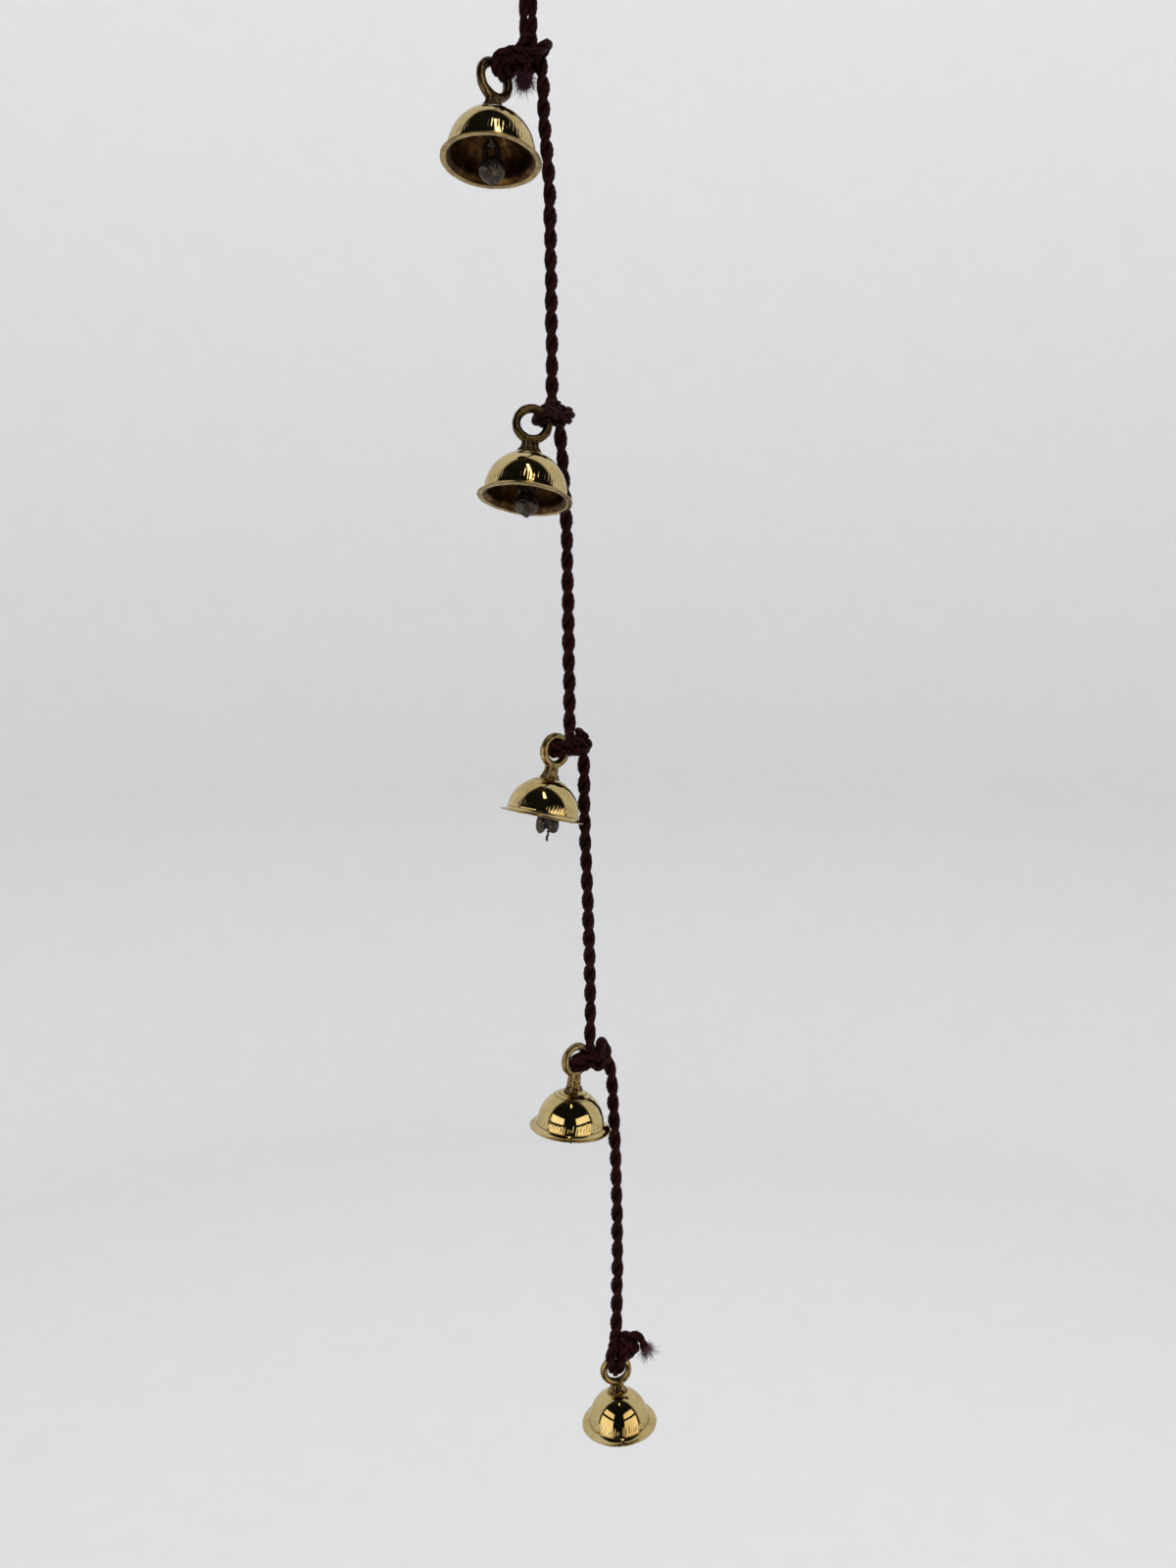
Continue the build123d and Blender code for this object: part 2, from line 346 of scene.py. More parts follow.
class Nodes:
    """The node tree of a material or world, with short calls for the nodes used here."""

    def __init__(self, owner):
        owner.use_nodes = True
        self.owner = owner
        self.tree = owner.node_tree

    def add(self, kind, inputs=None, **settings):
        """A node with these settings, and a number, colour or output at each of these inputs."""
        node = self.tree.nodes.new(kind)
        for key, value in settings.items():
            setattr(node, key, value)
        self.feed(node, inputs or {})
        return node

    def feed(self, node, inputs):
        for key, source in inputs.items():
            socket = node.inputs[key]
            if isinstance(source, bpy.types.NodeSocket):
                self.tree.links.new(source, socket)
            elif socket.type == "RGBA":
                socket.default_value = (*source, 1)
            else:
                socket.default_value = source

    def noise(self, scale, detail=3.0, vector=None, rough=0.55):
        inputs = {"Scale": scale, "Detail": detail, "Roughness": rough}
        inputs["Vector"] = vector or self.place()
        return self.add("ShaderNodeTexNoise", inputs).outputs["Fac"]

    def place(self):
        return self.add("ShaderNodeTexCoord").outputs["Object"]

    def stretched(self, source, scale):
        return self.add("ShaderNodeMapping", {"Scale": scale, "Vector": source}).outputs["Vector"]

    def ramp(self, value, *stops):
        node = self.add("ShaderNodeValToRGB", {"Fac": value})
        while len(node.color_ramp.elements) < len(stops):
            node.color_ramp.elements.new(0.5)
        for element, (position, colour) in zip(node.color_ramp.elements, stops):
            element.position = position
            element.color = (*colour, 1)
        return node.outputs["Color"]

    def range(self, value, low, high, to_low=0.0, to_high=1.0):
        inputs = {"From Min": low, "From Max": high, "To Min": to_low, "To Max": to_high}
        return self.add("ShaderNodeMapRange", {"Value": value, **inputs}).outputs["Result"]

    def value(self, name):
        return self.add("ShaderNodeAttribute", attribute_name=name).outputs["Fac"]

    def maths(self, operation, *sources):
        node = self.add("ShaderNodeMath", dict(enumerate(sources)), operation=operation)
        return node.outputs["Value"]

    def mix(self, amount, a, b):
        # inputs 6 and 7 of a mix node are its two colours, and output 2 is the colour
        return self.add("ShaderNodeMix", {0: amount, 6: a, 7: b}, data_type="RGBA").outputs[2]

    def bump(self, height, distance, strength=1.0, base=None):
        inputs = {"Height": height, "Distance": distance * MM, "Strength": strength}
        if base is not None:
            inputs["Normal"] = base
        return self.add("ShaderNodeBump", inputs).outputs["Normal"]

    def finish(self, colour, roughness, normal=None, metallic=1.0):
        inputs = {"Metallic": metallic, "Base Color": colour, "Roughness": roughness}
        if normal is not None:
            inputs["Normal"] = normal
        self.feed(self.tree.nodes["Principled BSDF"], inputs)
        return self.owner


def new_material(name):
    return Nodes(bpy.data.materials.new(name))


BRASS = (0.80, 0.63, 0.30)
BRASS_DEEP = (0.62, 0.45, 0.18)
# the colour of the stains, and of the patina and painted shade in the hollows
TARNISH_AND_SHADE = (0.15, 0.085, 0.035)


def polished_brass():
    n = new_material("polished brass")
    broad = n.noise(90, 4)
    fine = n.noise(900, 5)
    colour = n.ramp(broad, (0.30, BRASS_DEEP), (0.52, BRASS), (0.75, (0.88, 0.73, 0.40)))
    stains = n.range(n.noise(260, 6, rough=0.7), 0.62, 0.80)
    colour = n.mix(n.maths("MULTIPLY", stains, 0.55), colour, TARNISH_AND_SHADE)
    # patina and painted shade: the strokes, one side of each crown ridge, the brim's crease and the
    # crown's foot darken towards the tarnish colour
    patina_and_shade = n.maths("MAXIMUM", n.value("groove"), n.value("patina_and_shade"))
    colour = n.mix(n.maths("MULTIPLY", patina_and_shade, 0.80), colour, TARNISH_AND_SHADE)
    rough = n.maths("ADD", n.range(fine, 0.3, 0.8, 0.035, 0.10), n.maths("MULTIPLY", patina_and_shade, 0.25))
    rough = n.maths("ADD", rough, n.maths("MULTIPLY", stains, 0.15))
    scratches = n.noise(1.0, 3, n.stretched(n.place(), (3500, 3500, 420)))
    normal = n.bump(scratches, 0.012, 0.35)
    normal = n.bump(n.noise(300, 2), 0.05, 0.35, normal)
    return n.finish(colour, rough, normal)


def dull_lip_brass():
    n = new_material("dull lip brass")
    colour = n.ramp(n.noise(220, 5), (0.3, (0.30, 0.20, 0.09)), (0.6, (0.58, 0.44, 0.22)))
    pits = n.range(n.noise(1300, 3, rough=0.7), 0.60, 0.72)
    colour = n.mix(n.maths("MULTIPLY", pits, 0.8), colour, (0.07, 0.035, 0.015))
    rough = n.range(n.noise(700, 4), 0.3, 0.7, 0.24, 0.46)
    normal = n.bump(n.noise(1100, 4), 0.10, 0.55)
    return n.finish(colour, rough, normal)


def inside_patina():
    n = new_material("inside patina")
    colour = n.ramp(
        n.noise(170, 6, rough=0.65),
        (0.30, (0.030, 0.017, 0.009)),
        (0.52, (0.095, 0.052, 0.023)),
        (0.68, (0.30, 0.165, 0.06)),
    )
    spots = n.range(n.noise(520, 4, rough=0.7), 0.62, 0.74)
    colour = n.mix(spots, colour, (0.42, 0.17, 0.05))
    rough = n.range(n.noise(420, 4), 0.3, 0.7, 0.38, 0.62)
    rings = n.noise(1.0, 2, n.stretched(n.place(), (300, 300, 2600)))
    normal = n.bump(n.noise(800, 5), 0.12, 0.6, n.bump(rings, 0.08, 0.4))
    return n.finish(colour, rough, normal)


def ring_brass():
    n = new_material("hand-worked ring brass")
    broad = n.noise(240, 5)
    colour = n.ramp(
        broad,
        (0.30, (0.26, 0.18, 0.085)),
        (0.50, (0.46, 0.34, 0.165)),
        (0.72, (0.70, 0.55, 0.28)),
    )
    # each ring's patina, painted shade and painted reflection of the dark room, with random patina
    # patches, darken it
    patina_and_shade = n.maths("MAXIMUM", n.value("patina_and_shade"), n.range(n.noise(420, 6, rough=0.7), 0.60, 0.76))
    colour = n.mix(n.maths("MULTIPLY", patina_and_shade, 0.85), colour, (0.055, 0.030, 0.013))
    rough = n.maths("ADD", n.range(broad, 0.3, 0.7, 0.17, 0.30), n.maths("MULTIPLY", patina_and_shade, 0.08))
    files = n.noise(1.0, 3, n.stretched(n.place(), (1200, 1200, 4200)))
    normal = n.bump(files, 0.10, 0.7, n.bump(n.noise(900, 4), 0.08, 0.45))
    return n.finish(colour, rough, normal)


def worn_iron():
    n = new_material("worn iron")
    colour = n.ramp(
        n.noise(420, 6, rough=0.7),
        (0.32, (0.035, 0.024, 0.019)),
        (0.55, (0.11, 0.095, 0.085)),
        (0.75, (0.18, 0.175, 0.18)),
    )
    rust = n.range(n.noise(300, 5, rough=0.75), 0.58, 0.74)
    colour = n.mix(n.maths("MULTIPLY", rust, 0.6), colour, (0.13, 0.05, 0.022))
    rough = n.range(n.noise(600, 4), 0.3, 0.7, 0.28, 0.52)
    normal = n.bump(n.noise(1000, 5, rough=0.65), 0.14, 0.6)
    return n.finish(colour, rough, normal, metallic=0.9)


def silky_cord():
    """Dark maroon yarn. The lay map runs along each ply and round it, in mm."""
    n = new_material("silky cord")
    lay = n.add("ShaderNodeUVMap", uv_map="lay").outputs["UV"]
    fibres = n.noise(1.0, 2, n.stretched(lay, (0.35, 7.0, 1)), rough=0.7)
    drift = n.noise(60, 3)
    # the yarn's own dark shades, with the lightest fibres painted as reddish glints
    colour = n.ramp(
        fibres,
        (0.36, (0.0026, 0.0006, 0.0007)),
        (0.55, (0.0115, 0.0021, 0.0024)),
        (0.72, (0.1250, 0.0200, 0.0230)),
    )
    colour = n.mix(n.range(drift, 0.35, 0.7, 0, 0.45), colour, (0.0070, 0.0016, 0.0022))
    # the valleys between the yarns, and the core, are painted dark as shade
    colour = n.mix(n.value("valley"), colour, (0.004, 0.0012, 0.0016))
    shader = n.tree.nodes["Principled BSDF"]
    shader.inputs["Specular IOR Level"].default_value = 0.16
    shader.inputs["Specular Tint"].default_value = (1.0, 0.50, 0.45, 1)
    rough = n.range(fibres, 0.3, 0.7, 0.55, 0.36)
    normal = n.bump(fibres, 0.16, 0.8)
    return n.finish(colour, rough, normal, metallic=0.0)


def frayed_fibre():
    n = new_material("frayed fibre")
    colour = n.ramp(
        n.noise(500, 3), (0.35, (0.010, 0.0020, 0.003)), (0.65, (0.060, 0.010, 0.014))
    )
    colour = n.mix(n.value("tip"), colour, (0.42, 0.26, 0.33))
    n.tree.nodes["Principled BSDF"].inputs["Specular IOR Level"].default_value = 0.1
    return n.finish(colour, n.range(n.noise(900, 2), 0.3, 0.7, 0.5, 0.7), metallic=0.0)


def pale_plaster():
    n = new_material("pale backdrop")
    colour = n.ramp(n.noise(40, 4), (0.3, (0.70, 0.703, 0.71)), (0.7, (0.715, 0.718, 0.725)))
    return n.finish(colour, n.range(n.noise(20, 2), 0.3, 0.7, 0.85, 0.95), metallic=0.0)


cup_out = polished_brass()
cup_lip = dull_lip_brass()
cup_in = inside_patina()
ring_metal = ring_brass()
iron = worn_iron()
cord_yarn = silky_cord()
fray = frayed_fibre()

# ---- cord
STEP = 0.55  # mm between the rows of a ply
PLY_SIDES = 30
YARNS = 5  # yarns seen in each ply
YARN_LAY = 2.2  # turns of the plies to one turn of a yarn
YARN_LOW, YARN_HIGH, YARN_ROUND = 0.82, 0.22, 0.7  # a ply's swell at its valleys and over a yarn
VALLEY_SHARP = 2.2
PLY_LAY_SHIFT = 40  # mm between the two plies in the lay map
TWIST_DRIFT = 0.35  # radians
PLY_UNEVEN = 0.07
CORE_R = 0.65
STRAY_LONG, STRAY_CURL, STRAY_R, STRAY_PALE = (0.8, 1.4), 0.4, 0.035, 0.15
TUFT_LONG, TUFT_SPREAD, TUFT_CURL, TUFT_R = (0.45, 1.15), 0.42, 0.5, 0.11
# radii in mm: of the helix, and of a ply outwards and round the helix
Rope = namedtuple("Rope", "helix radial tangential pitch")
SPAN_ROPE = Rope(1.46, 1.36, 1.60, 17.4)
LOOP_ROPE = Rope(1.02, 1.08, 1.42, 15.0)
KNOT_ROPE = Rope(1.10, 1.06, 1.38, 11.5)


def route_line(points):
    """Points at even steps along the smooth route through the control points, in mm."""
    curve = bpy.data.curves.new("route", "CURVE")
    curve.dimensions = "3D"
    spline = curve.splines.new("NURBS")
    spline.points.add(len(points) - 1)
    for point, p in zip(spline.points, points):
        point.co = (*(c * MM for c in p), 1)
    spline.order_u = 3
    spline.use_endpoint_u = True
    spline.resolution_u = 24
    obj = bpy.data.objects.new("route", curve)
    bpy.context.scene.collection.objects.link(obj)
    bpy.context.view_layer.update()
    graph = bpy.context.evaluated_depsgraph_get()
    mesh = bpy.data.meshes.new_from_object(obj.evaluated_get(graph))
    line = np.array([v.co for v in mesh.vertices]) / MM
    bpy.data.objects.remove(obj)
    bpy.data.meshes.remove(mesh)
    reach = reach_of(line)
    even = np.linspace(0, reach[-1], max(4, int(reach[-1] / STEP)))
    return resampled(line, reach, even), even


def drifting(reach, count, amount, local):
    """A value that wanders between -amount and amount along a line."""
    return np.interp(reach, np.linspace(0, reach[-1], count), local.uniform(-amount, amount, count))


def plies(line, reach, rope, start_turn, narrow, seed):
    """The two plies of a twisted cord along a line: points, faces, lay map and valley values."""
    local = np.random.default_rng(seed)
    tangent = unit(np.gradient(line, axis=0))
    normal = carried_normals(tangent)
    side = np.cross(tangent, normal)
    taper = np.interp(reach / reach[-1], (0, 1), narrow)
    wander = drifting(reach, 9, TWIST_DRIFT, local)
    parts, lays, valleys = [], [], []
    around = np.linspace(0, 2 * pi, PLY_SIDES, endpoint=False)
    for ply in (0, 1):
        turn = 2 * pi * reach / rope.pitch + pi * ply + start_turn + wander
        out = normal * np.cos(turn)[:, None] + side * np.sin(turn)[:, None]
        thick = (1 + drifting(reach, 14, PLY_UNEVEN, local)) * taper
        centre = line + out * (rope.helix * thick)[:, None]
        along = unit(np.gradient(centre, axis=0))
        radial = across_each(out, along)
        tangential = np.cross(along, radial)
        # yarns turn slowly against the ply, so that they run nearly along the cord
        phase = around[None, :] - 2 * pi * reach[:, None] / (rope.pitch * YARN_LAY)
        ridge = np.abs(np.cos(YARNS * phase / 2 + ply))
        swell = (YARN_LOW + YARN_HIGH * ridge**YARN_ROUND)[..., None]
        wide = np.cos(around)[None, :, None] * rope.radial * swell
        tall = np.sin(around)[None, :, None] * rope.tangential * swell
        size = thick[:, None, None]
        verts = centre[:, None] + radial[:, None] * wide * size + tangential[:, None] * tall * size
        verts = verts.reshape(-1, 3)
        faces = [tuple(f) for f in grid_faces(len(line), PLY_SIDES)]
        faces.append(tuple(range(PLY_SIDES)))
        faces.append(tuple(range((len(line) - 1) * PLY_SIDES, len(line) * PLY_SIDES))[::-1])
        parts.append((verts, faces))
        u = np.broadcast_to(reach[:, None] + PLY_LAY_SHIFT * ply, phase.shape)
        v = phase * (rope.radial + rope.tangential) / 2
        lays.append(np.stack([u, v], -1).reshape(-1, 2))
        # the valley value paints shade between the yarns
        valleys.append(np.clip(1 - ridge * VALLEY_SHARP, 0, 1).ravel())
    # a core painted dark as shade, so that no light shows between the plies
    core, core_faces = tube(line, CORE_R * taper, sides=8)
    parts.append((core, core_faces))
    lays.append(np.zeros((len(core), 2)))
    valleys.append(np.ones(len(core)))
    verts, faces = joined(parts)
    return verts, faces, np.concatenate(lays), np.concatenate(valleys)


def across_each(vectors, tangents):
    return unit(vectors - tangents * np.sum(vectors * tangents, 1)[:, None])


def hairs(starts, directions, lengths, curl, seed, radius):
    """Thin curling fibres: points, faces and how far each point is towards its tip."""
    local = np.random.default_rng(seed)
    parts, tips = [], []
    share = np.linspace(0, 1, 7)
    for start, direction, length in zip(starts, directions, lengths):
        bend = local.normal(size=3) * curl
        drop = np.array((0, 0, -0.35 * curl))
        path = (
            np.asarray(start)
            + np.outer(share, unit(direction)) * length
            + np.outer(share**2, bend + drop) * length
        )
        parts.append(tube(path, radius * (1 - 0.5 * share), sides=4))
        tips.append(np.repeat(share, 4))
    verts, faces = joined(parts)
    return verts, faces, np.concatenate(tips)


Tuft = namedtuple("Tuft", "root direction length width count pale")


def rope_piece(name, ropes, strays, seed, tufts=()):
    """One cord object from (route, rope, start turn, narrow) strands, with hairs and tufts.

    It gives the object and the first strand's line.
    """
    parts, lays, valleys, lines = [], [], [], []
    for k, (route, *look) in enumerate(ropes):
        line, reach = route_line(route)
        verts, faces, lay, valley = plies(line, reach, *look, seed + k)
        lines.append(line)
        parts.append((verts, faces))
        lays.append(lay)
        valleys.append(valley)
    fibre_start = sum(len(f) for _, f in parts)
    tips = [np.zeros(sum(len(v) for v, _ in parts))]
    local = np.random.default_rng(seed + 90)
    at = parts[0][0][local.integers(0, len(parts[0][0]), strays)]
    away = local.normal(size=(strays, 3)) + (0, 0, -0.4)
    lengths = local.uniform(*STRAY_LONG, strays)
    verts, faces, tip = hairs(at, away, lengths, STRAY_CURL, seed + 50, STRAY_R)
    parts.append((verts, faces))
    tips.append(tip * STRAY_PALE)
    for t, tuft in enumerate(tufts):
        spread = local.normal(size=(tuft.count, 3))
        at = np.asarray(tuft.root) + unit(spread) * local.uniform(0.1, tuft.width, (tuft.count, 1))
        away = unit(tuft.direction) + spread * TUFT_SPREAD
        lengths = tuft.length * local.uniform(*TUFT_LONG, tuft.count)
        verts, faces, tip = hairs(at, away, lengths, TUFT_CURL, seed + 60 + t, TUFT_R)
        parts.append((verts, faces))
        tips.append(tip * tuft.pale)
    verts, faces = joined(parts)
    material = np.zeros(len(faces), np.int32)
    material[fibre_start:] = 1
    obj = add_mesh(name, verts, faces, [cord_yarn, fray], material)
    lay = np.concatenate(lays)
    lay = np.concatenate([lay, np.zeros((len(verts) - len(lay), 2))])
    valley = np.concatenate(valleys)
    add_value(obj, "valley", np.concatenate([valley, np.zeros(len(verts) - len(valley))]))
    add_value(obj, "tip", np.concatenate(tips))
    corners = np.empty(len(obj.data.loops), np.int32)
    obj.data.loops.foreach_get("vertex_index", corners)
    obj.data.uv_layers.new(name="lay").data.foreach_set("uv", lay[corners].ravel())
    return obj, lines[0]


def declare_cord(obj, line, node, diameter, upper, lower, pivot):
    """The cord stands for its node, with its mesh baked in place."""
    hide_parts(node)
    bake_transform(obj)


# Each span's route, from inside its knot to inside the next
SPAN_ROUTES = [
    [(4.6, -1.5, -55), (6.2, -0.5, -62.5), (6.4, 0, -82), (8.8, 0, -104), (9.3, 0, -150),
     (9.6, 0, -185), (9.6, -0.3, -199.5)],
    [(13.2, -1, -201.5), (12.6, -0.5, -208), (14.6, 0, -226), (15.9, 0, -255), (16.4, 0, -300),
     (16.8, 0, -328), (16.9, -0.3, -341)],
    [(22.6, -1, -343.5), (23.2, -0.6, -350), (23, 0, -368), (24.2, 0, -398), (25.6, 0, -440),
     (26, 0, -465), (25.6, -0.3, -481)],
    [(33, -1, -483.5), (35.4, -0.6, -490), (36.2, 0, -506), (37.5, 0, -532), (38.4, 0, -572),
     (38.2, 0, -600), (37.6, -0.3, -616)],
]
LOOP_ROUTE = [
    (-1.5, 0.6, -55), (-1.8, 0.2, -48), (-1.6, -0.7, -40), (-1.8, 0, -32), (-2.1, 0, -24),
    (-7.4, 0, -14.5), (-9, 0, -2.5), (-4.6, 0, 2.1), (4.6, 0, 2.1), (9, 0, -2.5),
    (7.4, 0, -14.5), (2.1, 0, -24), (1.9, 0, -32), (1.8, 0.7, -40), (2, -0.2, -48),
    (1.8, -0.6, -55),
]
# Where each string joint turns
STRING_PIVOTS = [
    (0, 0, -50.7), (9.6, 0, -196.3), (17, 0, -338.5), (25.9, 0, -479.1), (38.1, 0, -611.8),
]

# The turns of each knot
KNOT_ROUTES = [
    [(0.5, -0.5, -49), (-2.5, -3.2, -51.5), (-4.5, -1.5, -56), (-2.5, 2.8, -59), (2.5, 3.6, -57),
     (7.2, 2, -52.5), (8.8, -1.5, -51.5), (7, -4.6, -54), (2.5, -5.2, -57.5),
     (-1.5, -3.8, -60), (-2, 0.5, -61.5), (2, 2.8, -60.5), (5, 1, -58.5)],
    [(9.6, -0.5, -195.5), (8, -3.5, -198), (9.5, -5.8, -201.5), (14, -5.2, -204),
     (17.6, -2.5, -202.6), (17.2, 1.8, -200.2), (13, 3.4, -198.2), (8.5, 2.2, -199.5),
     (7.6, -1.5, -203.5), (10.5, -4.6, -206), (15, -3.6, -205.8), (16.5, -0.5, -203.6)],
    [(16.8, -0.5, -336.5), (16.2, -3.8, -339.8), (19.5, -5.4, -341.5), (23.6, -3.6, -341.8),
     (25.3, 0, -343.4), (23.5, 3.2, -344.5), (19, 2.8, -346), (16.3, -0.5, -346.6),
     (17.2, -4.4, -345.8), (21, -5.4, -346), (24.2, -3, -345.6), (24.6, 0.5, -343),
     (22.5, 2.5, -339.8), (20.5, 0, -337.6), (21.5, -2.5, -338.4), (24, -2.6, -340.5)],
    [(25.8, -0.5, -476), (25.2, -3.8, -479.6), (28.2, -5.2, -483), (32.5, -3.8, -485.5),
     (34, 0, -483.5), (32.6, 2.2, -479.2), (30.5, -0.5, -476.6), (30.4, -3.6, -479.2),
     (31.2, -5, -483.6), (30.6, -4.2, -488), (28.3, -1, -489.4), (27.4, 2, -486.2),
     (29.8, 3, -482.6), (33.5, 0.5, -483)],
    [(37.8, 0, -613.5), (36.4, -2, -616.5), (37.2, -4.6, -619.5), (41, -6, -621.5),
     (45, -5, -623), (47, -1.5, -621.5), (44.5, 1.5, -618.5), (40, 1.2, -617),
     (38.5, -2, -618.8), (41, -4.6, -617.6), (44.6, -4.4, -619.4), (45.4, -2.4, -623.4),
     (43, -4, -625.6), (42, -2, -621), (44.4, -1.5, -615.4), (48.4, -1.6, -616.4),
     (50, -1.2, -619.6), (51.2, -1, -622.4)],
]
# The turns of cord through each ring, from the knot and back to it
HITCH_ROUTES = [
    [[(1, -3, -56.5), (-4, -5.5, -56.5), (-10, -8.2, -58.5), (-13.6, -8.6, -62),
      (-12.4, -6.6, -66.2), (-9.2, -2.4, -66), (-6, 0, -61.5), (0, -0.5, -58)],
     [(1, -4.5, -59.5), (-4, -5.6, -60.2), (-8.6, -8.2, -61.2), (-10.4, -7.4, -64.8),
      (-7.6, -4.6, -64), (-4.6, -2.4, -61.8), (0, -1.5, -60.5)]],
    [[(13, -2, -198.6), (8.2, -3.2, -198.8), (4.6, -4.2, -201.6), (2.6, -7.6, -206.6),
      (4.8, -12, -205.2), (8.6, -10.6, -202.4), (13, -4, -201.5)],
     [(13, -2, -201.6), (9.4, -3, -202), (5.8, -4.6, -204.4), (4.2, -8.4, -207.6),
      (6.6, -11.8, -205.8), (10, -9.2, -203.8), (13.5, -4, -203.5)]],
    [[(21, -3.6, -342.4), (15, -8.4, -342.8), (9.6, -11, -343.4), (7.4, -7.2, -344),
      (10.5, -3, -343.2), (15, -0.5, -341), (20, 0.5, -341)],
     [(21, -3.8, -345.6), (15, -8, -345.9), (10.4, -10, -346.5), (9, -6.6, -347),
      (12, -3, -345.8), (16, -0.5, -344), (20, 1, -343.5)]],
    [[(30, -2.6, -482.4), (24, -7.4, -483.2), (19, -9.8, -484), (16.7, -6.6, -485.5),
      (19.5, -2.2, -484.5), (24, -0.5, -482.5), (29, 0.5, -482)],
     [(30, -3, -486), (24.5, -6.8, -486.4), (20, -8.6, -487.1), (18.4, -5.5, -487.8),
      (21.5, -1.6, -486.7), (26, 0, -485), (30, 1, -484.5)]],
    [[(37.4, -3, -617.5), (34.6, -7.4, -621.5), (35.6, -9.4, -626.5), (37, -8.2, -630.2),
      (38, -4.4, -630.6), (38, -0.6, -628.2), (38, -0.4, -624), (39, -2, -620)],
     [(42.5, -3, -618.5), (41.2, -7.8, -620.5), (40.6, -9.4, -624.5), (39, -8.6, -628.4),
      (39, -4.6, -630), (39.4, -1, -626.5), (40, -1.5, -621)]],
]
NO_NARROWING = (1.0, 1.0)

for i, route in enumerate(SPAN_ROUTES):
    strands = [(route, SPAN_ROPE, 0.9 * i, NO_NARROWING)]
    obj, line = rope_piece(f"span_{i + 1}_twisted_cord", strands, strays=9, seed=11 * i + 3)
    bodies = f"string_{i + 1}", f"string_{i + 2}"
    declare_cord(obj, line, f"cord_span_{i + 1}", 0.0047, *bodies, STRING_PIVOTS[i + 1])

strands = [(LOOP_ROUTE, LOOP_ROPE, 0.4, NO_NARROWING)]
loop, line = rope_piece("loop_twisted_cord", strands, strays=6, seed=77)
declare_cord(loop, line, "hanging_loop", 0.0040, "top_loop", "string_1", STRING_PIVOTS[0])

TUFTS = {
    0: [Tuft((-1.6, -1.8, -64.8), (-0.1, -0.1, -1), 2.9, 3.1, 1100, 0.10)],
    4: [Tuft((50.9, -0.9, -621.6), (0.55, -0.1, -0.85), 3.6, 1.3, 380, 0.30)],
}
TAIL_ROUTE = [(1.0, -3.2, -57.0), (-1.2, -3.0, -61.5), (-1.5, -1.8, -67.2)]
TAIL_WIDENING = (1.1, 1.25)
TAILS = {0: ["top_tail"], 4: ["bottom_tail"]}
for i, route in enumerate(KNOT_ROUTES):
    strands = [(route, KNOT_ROPE, 0.7 * i, NO_NARROWING)]
    if i == 0:
        strands.append((TAIL_ROUTE, KNOT_ROPE, 0, TAIL_WIDENING))
    obj, _ = rope_piece(f"knot_{i + 1}_turns", strands, 6, 200 + 13 * i, TUFTS.get(i, ()))
    declare(obj, "cord", f"string_{i + 1}", f"knot_{i + 1}", *TAILS.get(i, []))

for i, routes in enumerate(HITCH_ROUTES):
    strands = [(route, KNOT_ROPE, 0.5 * k + i, NO_NARROWING) for k, route in enumerate(routes)]
    obj, _ = rope_piece(f"hitch_{i + 1}_turns", strands, strays=3, seed=300 + 13 * i)
    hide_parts(f"bell_{i + 1}_hitch")
    hang = hang_point(BELLS[i])
    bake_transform(obj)


# ---- the cups


def arc_through(p, q, r, count):
    """Points of the round arc from p through q to r."""
    (ax, ay), (bx, by), (cx, cy) = p, q, r
    d = 2 * (ax * (by - cy) + bx * (cy - ay) + cx * (ay - by))
    a2, b2, c2 = ax * ax + ay * ay, bx * bx + by * by, cx * cx + cy * cy
    ox = (a2 * (by - cy) + b2 * (cy - ay) + c2 * (ay - by)) / d
    oy = (a2 * (cx - bx) + b2 * (ax - cx) + c2 * (bx - ax)) / d
    start, middle, end = (np.arctan2(y - oy, x - ox) for x, y in (p, q, r))
    angles = np.unwrap([start, middle, end])
    a = np.interp(np.linspace(0, 1, count), (0, 0.5, 1), angles)
    radius = sqrt((ax - ox) ** 2 + (ay - oy) ** 2)
    return np.stack([ox + radius * np.cos(a), oy + radius * np.sin(a)], -1)


def dome_arc(centre, wide, up, low_angle, high_angle, count):
    """Points of the dome, by angle from its axis, in shares of the diameter."""
    a = np.radians(np.linspace(low_angle, high_angle, count))
    return np.stack([wide * np.sin(a), centre + up * np.cos(a)], -1)


# The lip's section, as (radius, height) in shares of the diameter
LIP_TOP = (0.5, 0.014)
LIP_EDGE = (0.5025, 0.007)
LIP_OUT, LIP_IN = 0.496, 0.455
BRIM_HOLLOW, BRIM_HEIGHT = 0.019, 0.033
BRIM_HOLLOW_IN, BRIM_HEIGHT_IN = 0.012, 0.028
LIP_WAVES = ((0.12, 2), (0.07, 5), (0.04, 13))  # mm, and waves round the lip
BAND_ANGLE = 48  # degrees from the axis, where the finer rows begin
# The chisel strokes: low end, length and depth, of which the first two are shares of the diameter
STROKE_LOW, STROKE_LONG, STROKE_DEEP = (0.066, 0.092), (0.075, 0.145), (0.09, 0.17)
STROKE_HALF_WIDTH, STROKE_CUT = 0.28, 0.15  # mm
STROKE_SLANT, STROKE_SCATTER = 0.35, 0.10  # shares of the space between strokes


